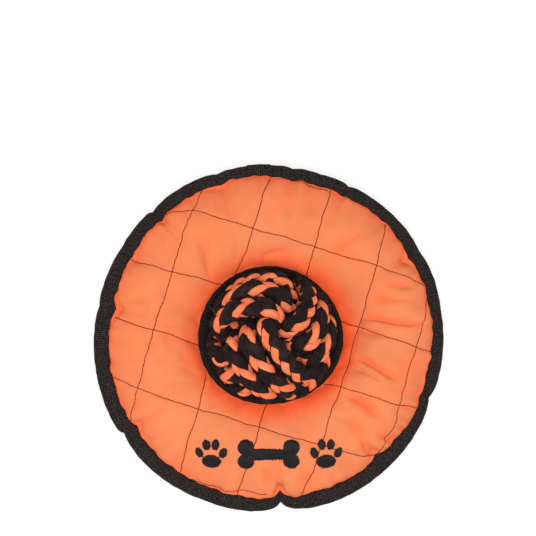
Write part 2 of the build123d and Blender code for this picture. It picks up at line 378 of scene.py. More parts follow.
def spun(x, y, degrees):
    """Flat places turned about the middle."""
    turn = radians(degrees)
    return x * cos(turn) - y * sin(turn), x * sin(turn) + y * cos(turn)


def polar(turn, radius, height):
    """Points from angles, radii and heights."""
    radius, height = np.broadcast_arrays(radius, height)
    return np.stack([radius * np.cos(turn), radius * np.sin(turn), height], -1)


def measured(line):
    """A closed line with its start once more at its end, and how far along it each point lies."""
    closed = np.concatenate([line, line[:1]])
    steps = np.linalg.norm(np.diff(closed, axis=0), axis=-1)
    return closed, np.concatenate([[0], np.cumsum(steps)])


def places_along(closed, far, wanted):
    """The points of a measured line at these distances along it."""
    return np.stack([np.interp(wanted, far, closed[:, k]) for k in range(3)], -1)


def closed_tangent(line):
    """Directions along a closed line of points."""
    return unit(np.roll(line, -1, axis=0) - np.roll(line, 1, axis=0))


# ===== meshes
def grid_quads(rows, columns, close_rows=True, close_columns=True):
    """Faces of a grid of points, numbered along its rows, joined round in either way."""
    row = np.arange(rows if close_rows else rows - 1)[:, None]
    column = np.arange(columns if close_columns else columns - 1)[None, :]
    below, beside = (row + 1) % rows, (column + 1) % columns
    corners = (row * columns + column, below * columns + column, below * columns + beside,
               row * columns + beside)
    return np.stack([np.broadcast_to(c, (row.size, column.size)) for c in corners], -1).reshape(-1, 4)


def repeated(faces, count, points):
    """The faces of one part, numbered again for each of many parts of so many points."""
    return (faces[None] + (np.arange(count) * points)[:, None, None]).reshape(-1, 4)


def new_object(name, data):
    """A new object in the scene."""
    thing = bpy.data.objects.new(name, data)
    scene.collection.objects.link(thing)
    return thing


def make_piece(name, shape, finishes, slot, replaced=None, body="ring", values=None):
    """One visible piece from points in millimetres and four-cornered faces.

    The finishes are names in FINISHES, and the values are kept with the points for them.
    """
    points, quads = np.reshape(shape[0], (-1, 3)), np.reshape(shape[1], (-1, 4))
    mesh = bpy.data.meshes.new(name)
    mesh.vertices.add(len(points))
    mesh.vertices.foreach_set("co", (points * MM).ravel())
    mesh.loops.add(quads.size)
    mesh.loops.foreach_set("vertex_index", quads.ravel().astype(np.int32))
    mesh.polygons.add(len(quads))
    mesh.polygons.foreach_set("loop_start", np.arange(0, quads.size, 4, dtype=np.int32))
    for key, value in (values or {}).items():
        value = np.asarray(value, np.float32)
        kind, field = ("FLOAT_VECTOR", "vector") if key == "fibre" else ("FLOAT", "value")
        mesh.attributes.new(key, kind, "POINT").data.foreach_set(field, value.ravel())
    mesh.update(calc_edges=True)
    mesh.validate()
    mesh.shade_smooth()
    for finish in finishes.split():
        mesh.materials.append(FINISHES[finish])
    piece = new_object(name, mesh)
    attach(piece, body)
    if replaced:
        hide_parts(replaced)
    return piece


def make_ring(name, sections, *rest, **more):
    """A ring from one closed section per column, facing outwards."""
    return make_piece(name, (sections, grid_quads(*sections.shape[:2])), *rest, **more)


def tubes(paths, ups, width, height, sides=6, ends=0.35):
    """Points and faces of many threads at once: oval tubes that narrow at both ends.

    The paths are an array of threads, points and coordinates, and ups are the ways that they face.
    """
    count, steps = paths.shape[:2]
    along = unit(np.gradient(paths, axis=1))
    side = unit(np.cross(along, ups))
    up = np.cross(side, along)
    turn = np.arange(sides) * 2 * pi / sides
    taper = np.ones(steps)
    taper[[0, -1]] = ends
    wide = side[:, :, None] * (np.cos(turn) * width / 2)[:, None]
    tall = up[:, :, None] * (np.sin(turn) * height / 2)[:, None]
    points = paths[:, :, None] + (wide + tall) * taper[None, :, None, None]
    walls = grid_quads(steps, sides, close_rows=False)
    cap = np.array([(0, k + 1, k + 2, k + 3) for k in range(0, sides - 2, 2)])
    far_cap = cap[:, ::-1] + (steps - 1) * sides
    faces = np.concatenate([walls[:, ::-1], cap, far_cap])
    return points, repeated(faces, count, steps * sides)


def slab(upper, lower):
    """Points and faces of a closed sheet between two grids of points."""
    rows, columns = upper.shape[:2]
    count = rows * columns
    face = grid_quads(rows, columns, False, False)
    number = np.arange(count).reshape(rows, columns)
    edge = np.concatenate([number[0, :-1], number[:-1, -1], number[-1, :0:-1], number[:0:-1, 0]])
    after = np.roll(edge, -1)
    walls = np.stack([edge, after, after + count, edge + count], -1)
    return np.stack([upper, lower]), np.concatenate([face[:, ::-1], face + count, walls[:, ::-1]])


# ===== outlines of the ring
def rim_dips(turn, depth_name):
    """How far the pinches and the notch draw the fold or the open edge of the rim inwards."""
    dips = np.zeros_like(turn)
    for pinch in PINCHES:
        off = off_heading(turn, pinch.heading)
        reach = np.where(off < 0, pinch.before, pinch.after)
        dips += getattr(pinch, depth_name) * fade(np.abs(off), reach)
    off = np.abs(off_heading(turn, NOTCH_HEADING))
    if depth_name == "fold_depth":
        return dips + NOTCH_DEPTH * np.exp(-((off / NOTCH_WIDTH) ** 0.7))
    return dips + NOTCH_EDGE_DEPTH * fade(off, NOTCH_EDGE_WIDTH)


def rim_fold(turn):
    """Radius of the webbing's fold at the rim."""
    fine = 0.12 * ripple(turn, (37, 53, 71, 96), 3)
    return lobed(turn, RIM_RADIUS + RIM_SWELL, RIM_LOBES) - rim_dips(turn, "fold_depth") + fine


def rim_edge(turn):
    """Radius of the webbing's open edge at the rim."""
    width = lobed(turn, RIM_FLAP, RIM_FLAP_LOBES)
    for heading, less, reach in NARROWS:
        width -= less * bell(off_heading(turn, heading), reach)
    scallops = 0.5 * ripple(turn, (29, 41, 58, 83), 5)
    circle = lobed(turn, RIM_RADIUS + RIM_SWELL, RIM_LOBES)
    return circle - width - rim_dips(turn, "edge_depth") + scallops


def rim_height(turn):
    """Height of the rim's seam, which rises and falls a little round the ring."""
    return RIM_HEIGHT + 0.7 * ripple(turn, (2, 3, 5), 7) + 0.35 * ripple(turn, (9, 13, 17), 8)


def rim_pucker(turn):
    """Height of the small gathers that the rim's seam puts into the cloth beside it."""
    gathers = 0.45 * ripple(turn, (23, 31, 37, 47), 13)
    return gathers - 0.55 * np.minimum(rim_dips(turn, "edge_depth"), PINCH_MOST)


def collar_edge(turn):
    """Radius of the webbing's open edge at the collar: an oval a little off the middle."""
    return lobed(turn, COLLAR_RADIUS - COLLAR_TRIM, COLLAR_LOBES) + 0.2 * ripple(turn, (19, 31, 43), 11)


def collar_fold(turn):
    """Radius of the webbing's fold at the collar, just clear of the ball."""
    drop = BALL_CENTRE[2] - COLLAR_HEIGHT
    reach = BALL_RADIUS + BALL_GAP + HALF_BINDING
    return np.full_like(turn, sqrt(reach**2 - drop**2) - HALF_BINDING)


# ===== the covers
Cover = namedtuple("Cover", "points normals shade rise_length fall_length side")
TURN = np.arange(AROUND) * 2 * pi / AROUND


def crown_height(side):
    """Height of a cover's crown round the ring."""
    if side == TOP:
        return CROWN_HEIGHT - 0.6 + 0.5 * ripple(TURN, (2, 3, 4, 7), 17)
    return np.full_like(TURN, -SAG)


def arc(foot_radius, foot_height, crown, inward, steps):
    """Circular arcs from a foot to the crown: their points as (radius, height), and their lengths."""
    run = np.abs(CROWN_RADIUS - foot_radius)
    rise = np.abs(crown - foot_height)
    upward = np.sign(crown - foot_height)
    bend = (run**2 + rise**2) / (2 * rise)
    foot_angle = np.arctan2(run, bend - rise)
    angle = foot_angle[:, None] * (1 - steps[None, :])
    radius = CROWN_RADIUS + inward * bend[:, None] * np.sin(angle)
    height = crown[:, None] - (upward * bend)[:, None] * (1 - np.cos(angle))
    return radius, height, bend * foot_angle


def valley(x, y, crease):
    """How deep one soft crease is at each place."""
    x0, y0, x1, y1, depth, half_width, steep = crease
    length = np.hypot(x1 - x0, y1 - y0)
    ahead = ((x - x0) * (x1 - x0) + (y - y0) * (y1 - y0)) / length
    beside = ((x - x0) * (y1 - y0) - (y - y0) * (x1 - x0)) / length
    beside = beside + CREASE_WANDER * np.sin(ahead / 7.0)
    window = ease(ahead / length * 2.5) * ease((length - ahead) / length * 2.5)
    reach = np.where(beside > 0, steep, 1.0) * half_width
    lip = CREASE_LIP * bell(beside - 1.6 * half_width, half_width)
    return depth * window * (np.exp(-np.abs(beside / reach) ** 1.5) - lip)


def row_middle(row, ahead):
    """The place of a row of quilting at each distance along it."""
    past = ahead - row.start
    hooked = np.clip(1 - past / HOOK_LENGTH, 0, 1)
    return row.place + row.bend * past**2 - row.hook * hooked**2


def quilt_dents(x, y):
    """How far the quilting pulls the cloth in at flat-cloth places."""
    along, across = spun(x, y, -QUILT_HEADING)
    dent = np.zeros_like(x)
    for rows, off, ahead in ((QUILT_ACROSS, across, along), (QUILT_ALONG, along, across)):
        for row in rows:
            sewn = (ahead > row.start) & (ahead < row.end)
            off_row = off - row_middle(row, ahead)
            dent = np.maximum(dent, sewn * bell(off_row, QUILT_DENT_WIDTH))
    return QUILT_DENT * dent


def cloth_creases(turn, radius, to_rim, side):
    """How deep the creases are, with those that run in from the pinches and the notch."""
    x, y = radius * np.cos(turn), radius * np.sin(turn)
    depth = np.zeros_like(x)
    if side == TOP:
        for crease in CREASES:
            depth += valley(x, y, crease)
    runs = [(pinch.heading, 0.6 * pinch.edge_depth, 1.9, 9.0) for pinch in PINCHES]
    for heading, deep, half_width, reach in runs + [(NOTCH_HEADING, NOTCH_CREASE, 1.2, 3.0)]:
        off = np.radians(off_heading(turn, heading)) * radius
        depth += deep * bell(off, half_width) * fade(to_rim, reach)
    return depth


def cloth_relief(turn, radius, flat_radius, to_rim, to_collar, side):
    """How far the cloth stands out of its smooth shape between the creases."""
    x, y = radius * np.cos(turn), radius * np.sin(turn)
    relief = 0.45 * waves(x, y, 34, 19 + side) + 0.16 * waves(x, y, 13, 23 + side)
    relief += rim_pucker(turn) * fade(to_rim, 7.0)
    relief += 0.5 * ripple(turn, (11, 17, 26), 29 + side) * fade(to_rim, 16.0)
    relief += 0.55 * ripple(turn, (7, 12, 19), 31 + side) * fade(to_collar, 8.0)
    return relief - quilt_dents(flat_radius * np.cos(turn), flat_radius * np.sin(turn))


def cloth_shade(turn, to_rim, to_collar, folds):
    """How far painted shade deepens the cloth's colour, from 0 to 1."""
    hollow = ease(1 - to_collar / HOLLOW) * lobed(turn, HOLLOW_SHADE, HOLLOW_SHADE_LOBES)
    slope = lobed(turn, SLOPE_SHADE, SLOPE_SHADE_LOBES) * fade(to_rim, SLOPE_SHADE_REACH)
    seam = SEAM_SHADE * fade(to_rim, SEAM_SHADE_REACH)
    return np.maximum(np.maximum(hollow, seam + slope), np.clip(folds * FOLD_SHADE, 0, FOLD_SHADE_MOST))


def face_normals(points, side):
    """Outward directions on a grid of points that closes round the ring."""
    wrapped = np.concatenate([points[-1:], points, points[:1]])
    around = np.gradient(wrapped, axis=0)[1:-1]
    outward = np.gradient(points, axis=1)
    return unit(np.cross(outward, around) * side)


def run_slack(coarse):
    """A coarse face after the simulation: grown a little, pressed from inside, held at its seams."""
    columns, rows = coarse.shape[:2]
    quads = grid_quads(columns, rows, close_columns=False)[:, ::-1]
    mesh = bpy.data.meshes.new("slack")
    mesh.from_pydata(coarse.reshape(-1, 3).tolist(), [], quads.tolist())
    piece = new_object("slack", mesh)
    number = np.arange(columns * rows).reshape(columns, rows)
    piece.vertex_groups.new(name="seams").add(number[:, [0, -1]].ravel().tolist(), 1.0, "REPLACE")
    cloth = piece.modifiers.new("slack", "CLOTH")
    cloth.point_cache.frame_end = SLACK_FRAMES
    cloth.collision_settings.use_collision = False
    settings = cloth.settings
    settings.vertex_group_mass = "seams"
    settings.effector_weights.gravity = 0
    settings.shrink_min = -SLACK_GROWTH
    settings.use_pressure = True
    settings.uniform_pressure_force = SLACK_PRESSURE
    settings.mass = SLACK_MASS
    for moment in range(1, SLACK_FRAMES + 1):
        scene.frame_set(moment)
    settled = np.empty(coarse.size)
    evaluated = piece.evaluated_get(bpy.context.evaluated_depsgraph_get())
    evaluated.data.vertices.foreach_get("co", settled)
    bpy.data.objects.remove(piece)
    scene.frame_set(1)
    return settled.reshape(coarse.shape)


def slack_lift(points, side):
    """How far the slack in a cover moves it in or out at each of its points."""
    columns, rows = points.shape[:2]
    if side == UNDER:
        return np.zeros((columns, rows))
    coarse = points[::SLACK_COLUMNS, ::SLACK_ROWS] * SLACK_SCALE
    moved = (run_slack(coarse) - coarse) / SLACK_SCALE
    lift = (moved * face_normals(points, side)[::SLACK_COLUMNS, ::SLACK_ROWS]).sum(-1)
    lift = np.clip(lift - lift.mean(axis=0), -SLACK_MOST, SLACK_MOST)
    finer = np.linspace(0, lift.shape[1] - 1, rows)
    lift = np.stack([np.interp(finer, np.arange(len(row)), row) for row in lift])
    waves_round = np.fft.rfft(lift, axis=0)
    count = np.arange(len(waves_round))[:, None]
    smooth = bell(count, SLACK_FINEST) * columns / len(lift)
    lift = np.fft.irfft(waves_round * smooth, columns, axis=0)
    for _ in range(3):
        lift[:, 1:-1] = (lift[:, :-2] + 2 * lift[:, 1:-1] + lift[:, 2:]) / 4
    return lift


def cover_face(side):
    """The outer face of a cover between the two webbings."""
    crown = crown_height(side)
    in_height = np.full_like(TURN, COLLAR_HEIGHT + side * (HALF_SLOT + COLLAR_OPENING - PLY_GAP))
    out_height = rim_height(TURN) + side * (HALF_SLOT + RIM_OPENING - PLY_GAP)
    up, down = np.arange(RISE_ROWS) / RISE_ROWS, np.arange(FALL_ROWS + 1) / FALL_ROWS
    rise = arc(collar_edge(TURN) + TUCK, in_height, crown, -1, up)
    fall = arc(rim_edge(TURN) - TUCK, out_height, crown, 1, down)
    radius, height = (np.hstack([rise[k], fall[k][:, ::-1]]) for k in (0, 1))
    rise_length, fall_length = rise[2][:, None], fall[2][:, None]
    past_crown = np.hstack([(up - 1) * rise_length, down * fall_length])
    to_rim, to_collar = fall_length - past_crown, rise_length + past_crown
    turn = np.broadcast_to(TURN[:, None], radius.shape)
    points = polar(turn, radius, height)
    creases = cloth_creases(turn, radius, to_rim, side)
    slack = slack_lift(points, side)
    relief = cloth_relief(turn, radius, CROWN_RADIUS + past_crown, to_rim, to_collar, side)
    relief += slack - creases
    for to_edge in (to_rim, to_collar):
        relief *= ease(to_edge / HELD_REACH + HELD_START)
    points = points + face_normals(points, side) * relief[..., None]
    if side == UNDER:
        low = points[..., 2] - THREAD_ROOM
        points[..., 2] = THREAD_ROOM + (low + np.sqrt(low**2 + GROUND_ROUNDING)) / 2
    # painted shade in the creases and in the valleys of the slack
    folds = np.sqrt(FULL_CREASE * np.maximum(creases, 0)) - slack
    shade = cloth_shade(turn, to_rim, to_collar, folds)
    return Cover(points, face_normals(points, side), shade, rise[2], fall[2], side)


def on_cover(cover, x, y):
    """Places and outward directions of a cover at flat-cloth places."""
    column = np.arctan2(y, x) % (2 * pi) / (2 * pi) * AROUND
    first = np.floor(column).astype(int) % AROUND
    second = (first + 1) % AROUND
    part = (column - np.floor(column))[..., None]
    past = np.hypot(x, y) - CROWN_RADIUS
    row = np.where(past < 0, RISE_ROWS * (1 + past / cover.rise_length[first]),
                   RISE_ROWS + FALL_ROWS * past / cover.fall_length[first])
    row = np.clip(row, 0, RISE_ROWS + FALL_ROWS - 1e-6)
    near = np.floor(row).astype(int)
    share = (row - near)[..., None]

    def mix(grid):
        """A grid's values at these places."""
        low, high = (grid[first, k] * (1 - part) + grid[second, k] * part for k in (near, near + 1))
        return low * (1 - share) + high * share

    return mix(cover.points), unit(mix(cover.normals))


def ply_surface(cover, depth):
    """A surface this deep under a cover's face, with its flat hems inside the webbing."""
    face = cover.points - cover.normals * depth
    share = np.linspace(0, 0.85, 4)[None, :]
    rise = cover.side * (HALF_SLOT - PLY_GAP - depth)

    def hem(start, height, row):
        """Four points a column, from inside the webbing's fold to near one edge of the face."""
        foot = np.hypot(face[:, row, 0], face[:, row, 1])
        radius = start[:, None] + (foot - start)[:, None] * share
        return polar(TURN[:, None], radius,
                     (height + rise)[:, None] * (1 - share) + face[:, row, 2, None] * share)

    inner = hem(collar_fold(TURN) + HALF_BINDING, np.full_like(TURN, COLLAR_HEIGHT), 0)
    outer = hem(rim_fold(TURN) - HALF_BINDING, rim_height(TURN), -1)
    return np.hstack([inner, face, outer[:, ::-1]])


def ply_sections(cover, depth, thickness):
    """Closed sections of one ply."""
    outer, inner = ply_surface(cover, depth), ply_surface(cover, depth + thickness)
    return np.hstack([outer, inner[:, ::-1]])[:, ::-cover.side]


def shade_values(cover):
    """How far painted shade deepens the colour at each point of a cover's sections."""
    shade = cover.shade
    ply = np.hstack([shade[:, :1].repeat(4, 1), shade, shade[:, -1:].repeat(4, 1)])
    return {"shade": np.hstack([ply, ply[:, ::-1]])[:, ::-cover.side]}


def make_covers(top, under):
    """The two covers, their linings and the filling between them."""
    for name, cover in (("top", top), ("bottom", under)):
        piece = make_ring(f"{name}_cover_cloth", ply_sections(cover, 0, CLOTH), "cloth",
                          "orange_fabric", f"{name}_cover", values=shade_values(cover))
        make_ring(f"{name}_lining_cloth", ply_sections(cover, CLOTH + LINING_GAP, LINING), "lining",
                  "lining_fabric", f"{name}_lining")
    above, below = (ply_surface(cover, FILLING_DEPTH) for cover in (top, under))
    filling = np.hstack([above, below[:, ::-1]])[:, ::-1]
    piece = make_ring("fibre_filling", filling, "fibre", "fibre_filling", "stuffing_ring")


# ===== webbing
def tape_sections(turn, fold, edge, height, top_edge, under_edge, extra=0.0):
    """Closed sections of webbing folded over an edge.

    The fold and the open edge are radii. The top and under edges are the heights at which the
    webbing's two open edges lie, and the extra is a layer that it lies over.
    """
    inward = np.sign(edge - fold)
    bend = fold + inward * (HALF_BINDING + extra)
    flap = np.linspace(0, 1, FLAP_POINTS)[None, :]
    swell = np.sin(pi * flap) * TAPE_SWELL
    roll = np.radians(np.linspace(90, -90, FLAP_POINTS + 2))[None, 1:-1]

    def face(half, lift):
        """Radii and heights of one face of the webbing, from its top edge round to its under edge."""
        radius = edge[:, None] + (bend - edge)[:, None] * flap
        upper = (top_edge + lift)[:, None] * (1 - flap) + (height + half)[:, None] * flap + swell
        lower = (under_edge - lift)[:, None] * (1 - flap) + (height - half)[:, None] * flap - swell
        bend_radius = bend[:, None] - inward[:, None] * np.cos(roll) * half
        bend_height = height[:, None] + np.sin(roll) * half
        return (np.hstack([radius, bend_radius, radius[:, ::-1]]),
                np.hstack([upper, bend_height, lower[:, ::-1]]))

    outer, inner = face(HALF_BINDING + extra, WEBBING + extra), face(HALF_SLOT + extra, extra)
    outer[0][:, [0, -1]] -= EDGE_ROUNDING * inward[:, None]
    radius, heights = (np.hstack([outer[k], inner[k][:, ::-1]]) for k in (0, 1))
    return polar(turn[:, None], radius, heights)[:, ::int(inward[0])]


def rim_tape(turn, top, under, extra=0.0):
    """The rim's webbing at these angles."""
    sink = 0.6 * NOTCH_CREASE * fade(np.abs(off_heading(turn, NOTCH_HEADING)), 1.1)

    def foot(cover):
        """Height of a cover's edge at these angles."""
        heights = cover.points[:, -1, 2]
        column = turn / (2 * pi) * AROUND
        return np.interp(column, np.arange(AROUND + 1), np.append(heights, heights[0]))

    return tape_sections(turn, rim_fold(turn) + extra, rim_edge(turn), rim_height(turn),
                         foot(top) + PLY_GAP - sink, foot(under) - PLY_GAP + sink, extra)


def along_tape(sections):
    """Distances along webbing, for its ribs."""
    far = measured(sections.mean(axis=1))[1][:-1]
    return {"along": np.broadcast_to(far[:, None], sections.shape[:2])}


def make_webbing(top, under):
    """The webbing at the rim, the end that laps over it, and the webbing at the collar."""
    rim = rim_tape(TURN, top, under)
    make_ring("rim_webbing", rim, "webbing", "black_webbing", "rim_binding", values=along_tape(rim))
    lap_turn = np.radians(np.linspace(LAP_START, LAP_END, 60))
    lap = rim_tape(lap_turn, top, under, LAP_LAYER)
    columns, points = lap.shape[:2]
    near = np.arange(points // 2 - 1)
    end = np.stack([near, near + 1, points - 2 - near, points - 1 - near], -1)
    quads = np.concatenate([grid_quads(columns, points, close_rows=False), end,
                            end[:, ::-1] + (columns - 1) * points])
    along = np.broadcast_to((lap_turn - lap_turn[0])[:, None] * RIM_RADIUS, lap.shape[:2])
    make_piece("rim_webbing_lap", (lap, quads), "webbing", "black_webbing", values={"along": along})
    collar = tape_sections(TURN, collar_fold(TURN), collar_edge(TURN),
                           np.full_like(TURN, COLLAR_HEIGHT), top.points[:, 0, 2] + PLY_GAP,
                           under.points[:, 0, 2] - PLY_GAP)
    # the collar's webbing takes the darker copy of the webbing's finish, as painted shade
    make_ring("collar_webbing", collar, "collar_webbing", "black_webbing", "collar_binding",
              values=along_tape(collar))
    return rim, collar


# ===== threads
def row_path(row, across):
    """Flat-cloth places along one row of quilting, a stitch apart, with a hand-guided waver."""
    steps = np.arange(row.start, row.end, QUILT_STITCH)
    waver = 0.35 * np.sin(steps / 9.0 + row.place) + 0.25 * np.sin(steps / 4.1 + 2 * row.place)
    place = row_middle(row, steps) + waver
    return np.stack(spun(*((steps, place) if across else (place, steps)), QUILT_HEADING))


def quilting(cover, across, seed):
    """Every stitch of one direction of rows on one cover."""
    random = np.random.default_rng(seed)
    paths, ups = [], []
    for row in QUILT_ACROSS if across else QUILT_ALONG:
        flat = row_path(row, across)
        flat = flat + random.uniform(-QUILT_JITTER, QUILT_JITTER, flat.shape)
        x, y = flat[:, :-1, None] + np.diff(flat)[..., None] * QUILT_SHARES
        middle_x, middle_y = x[:, 3], y[:, 3]
        column = (np.arctan2(middle_y, middle_x) % (2 * pi) / (2 * pi) * AROUND).astype(int) % AROUND
        past = np.hypot(middle_x, middle_y) - CROWN_RADIUS
        seen = (past > -cover.rise_length[column] - QUILT_SPARE)
        seen &= past < cover.fall_length[column] + QUILT_SPARE
        place, normal = on_cover(cover, x[seen], y[seen])
        paths.append(place + normal * QUILT_LIFTS[:, None])
        ups.append(normal)
    return tubes(np.concatenate(paths), np.concatenate(ups), QUILT_THREAD, QUILT_THREAD * 0.7)


def make_quilting(top, under):
    """The quilting of both covers, in its two directions."""
    ways = [(name, cover, way) for name, cover in (("top", top), ("bottom", under))
            for way in ("along", "across")]
    for number, (name, cover, way) in enumerate(ways):
        make_piece(f"{name}_stitches_{way}", quilting(cover, way == "across", 41 + number),
                   "quilt_thread", "quilting_thread", f"{name}_quilting_{way}")


def seam_stitches(line, side):
    """Stitches along a closed line, standing off one side of the webbing."""
    random = np.random.default_rng(51 + side)
    closed, far = measured(line)
    count = int(far[-1] / SEAM_STITCH)
    starts = np.arange(count)[:, None] * far[-1] / count
    paths = places_along(closed, far, (starts + SEAM_SHARES * SEAM_STITCH) % far[-1])
    paths[..., 2] += SEAM_LIFTS * side
    paths[..., :2] += random.uniform(-SEAM_SWAY, SEAM_SWAY, (count, 1, 1))
    return tubes(paths, np.array((0, 0, side)), SEAM_THREAD, SEAM_THREAD * 0.6)


def make_seams(rim, collar):
    """The threads of the rim's and the collar's seams, over and under the webbing."""
    lower_point = 3 * FLAP_POINTS - 1 - SEAM_POINT
    for name, sections in (("rim", rim[:, ::-1]), ("collar", collar)):
        for thread, point, side in (("needle", SEAM_POINT, 1), ("bobbin", lower_point, -1)):
            make_piece(f"{name}_{thread}_stitches", seam_stitches(sections[:, point], side),
                       "black_thread", "black_thread", f"{name}_{thread}_thread")


def make_loose_ends():
    """A few thread ends that stand out beside the rim's seam."""
    random = np.random.default_rng(73)

    def each(low, high):
        """A random number for each thread end."""
        return random.uniform(low, high, (LOOSE_ENDS, 1))

    part = np.linspace(0, 1, 7)[None, :]
    heading = radians(LOOSE_HEADING) + each(-0.012, 0.012)
    radius = RIM_RADIUS - 1.0 + part * each(2.0, 4.2)
    turn = heading + 0.02 * each(-1, 1) * np.sin(pi * part)
    height = RIM_HEIGHT + each(-1.5, 2.5) * part
    threads = tubes(polar(turn, radius, height), np.array((0, 0, 1)), LOOSE_THREAD, LOOSE_THREAD)
    make_piece("loose_thread_ends", threads, "black_thread", "black_thread")


# ===== embroidery
def oval_chords(oval):
    """Both ends of every stitch of one oval, side by side along its long middle."""
    across = np.arange(-oval.half_wide, oval.half_wide, SATIN_PITCH) + SATIN_PITCH / 2
    reach = oval.half_tall * np.sqrt(np.maximum(1 - (across / oval.half_wide) ** 2, 0.02))
    tips = [np.stack(spun(across, tip, oval.lean), -1) for tip in (-reach, reach)]
    return np.stack(tips, 1) + (oval.x, oval.y)


def bone_chords():
    """Both ends of every stitch of the bone, which run from its lower to its upper edge."""
    chords = []
    knob_x = BONE_HALF_LENGTH - KNOB_RADIUS
    for x in np.arange(SATIN_PITCH / 2 - BONE_HALF_LENGTH, BONE_HALF_LENGTH - 0.1, SATIN_PITCH):
        off = abs(abs(x) - knob_x)
        reach = sqrt(max(KNOB_RADIUS**2 - off**2, 0.0))
        seam = 1.5 * sin(7 * x)
        if abs(x) < knob_x and off > KNOB_RADIUS:
            spans = [(-BONE_HALF_SHAFT, BONE_HALF_SHAFT)]
        elif abs(x) > knob_x and reach < KNOB_RISE:
            spans = [(middle - reach, middle + reach) for middle in (KNOB_RISE, -KNOB_RISE)]
        else:
            spans = [(-KNOB_RISE - reach, seam + SATIN_LAP), (seam - SATIN_LAP, KNOB_RISE + reach)]
        chords += [((x, low), (x, high)) for low, high in spans]
    return np.array(chords)


def make_embroidery(top):
    """A paw, a bone and a paw in raised satin stitching, and the stiff cloth behind them."""
    random = np.random.default_rng(71)
    chords = [bone_chords()]
    for side in (-1, 1):
        chords += [oval_chords(oval) + (side * PAW_SPACING, 0) for oval in PAW]
    chords = np.concatenate(chords) + MOTIF_PLACE
    span = chords[:, 1] - chords[:, 0]
    length = np.linalg.norm(span, axis=1, keepdims=True)
    ragged = random.uniform(-SATIN_RAGGED, SATIN_RAGGED, (len(chords), 2, 1))
    start, end = (chords + (span / length)[:, None] * ragged).swapaxes(0, 1)
    flat = start[:, None] + (end - start)[:, None] * SATIN_SHARES[None, :, None]
    place, up = on_cover(top, flat[..., 0], flat[..., 1])
    puff = SATIN_HEIGHT * np.sqrt(1 - (2 * SATIN_SHARES - 1) ** 2) * np.minimum(length / SATIN_FULL, 1)
    lift = puff + random.uniform(-0.04, 0.04, (len(chords), 1)) + 0.05
    make_piece("satin_motif", tubes(place + up * lift[..., None], up, SATIN_THREAD, SATIN_THREAD * 0.8),
               "embroidery", "embroidery_thread", "motif_embroidery")
    x, y = np.meshgrid(*(np.linspace(-1, 1, count) * half + middle for count, half, middle
                         in zip((101, 31), BACKING_HALF_SIZE, MOTIF_PLACE)))
    place, up = on_cover(top, x, y)
    sheet = slab(place - up * BACKING_DEPTH, place - up * (BACKING_DEPTH + BACKING_THICKNESS))
    make_piece("embroidery_backing_sheet", sheet, "backing", "backing_fabric", "embroidery_backing")


# ===== the ball
def wrap_ways(wrap):
    """A wrap's crest and run on the ball as it lies in the collar."""
    place = np.array(Euler([radians(turn) for turn in BALL_TURNS], "XYZ").to_matrix())
    crest, run = place @ np.array(wrap.crest), place @ np.array(wrap.run)
    spin = radians(wrap.spin)
    return crest, run * cos(spin) + np.cross(crest, run) * sin(spin)


def turn_line(long_way, short_way, offset):
    """The middle line of one turn of rope, its outward and sideways directions, and its length."""
    angle = (np.arange(4000) * 2 * pi / 4000)[:, None]
    from_crest = np.degrees(np.abs((angle + pi / 2) % pi - pi / 2))
    dive = ease((from_crest - OVER_END) / (UNDER_START - OVER_END))
    radius = np.sqrt((OUTER_LEVEL + (INNER_LEVEL - OUTER_LEVEL) * dive) ** 2 - offset**2)
    line = radius * np.cos(angle) * long_way + radius * np.sin(angle) * short_way
    closed, far = measured(line + offset * np.cross(long_way, short_way))
    even = places_along(closed, far, np.arange(BRAID_STEPS) * far[-1] / BRAID_STEPS)
    along = closed_tangent(even)
    out = unit(even - (even * along).sum(-1, keepdims=True) * along)
    return even, out, np.cross(along, out), far[-1]


def seated(points):
    """The ball as it sits: pressed round by the collar and the ground, and swollen above the collar.

    In the collar's grip the rope is squeezed until it fills most of the gaps between its turns.
    """
    over_collar = points[..., 2] + BALL_CENTRE[2] - COLLAR_HEIGHT
    above = ease((over_collar - SWELL_START) / SWELL_RISE)
    distance = np.linalg.norm(points, axis=-1)
    beyond = np.maximum(distance - BALL_RADIUS + PRESS_DEPTH, 0)
    pressed = distance - beyond + PRESS_DEPTH * (1 - np.exp(-beyond / PRESS_DEPTH))
    deep, shallow = GRIP_DEPTHS
    gripped = GRIP * bell(over_collar, GRIP_REACH) * ease((distance - deep) / (shallow - deep))
    pressed = pressed + gripped * (BALL_RADIUS - pressed)
    grown = points * ((pressed * (1 - above) + distance * above) / distance)[..., None]
    grown[..., 0] *= 1 + SWELL_X * above
    grown[..., 1] *= 1 + SWELL_Y * above
    return grown


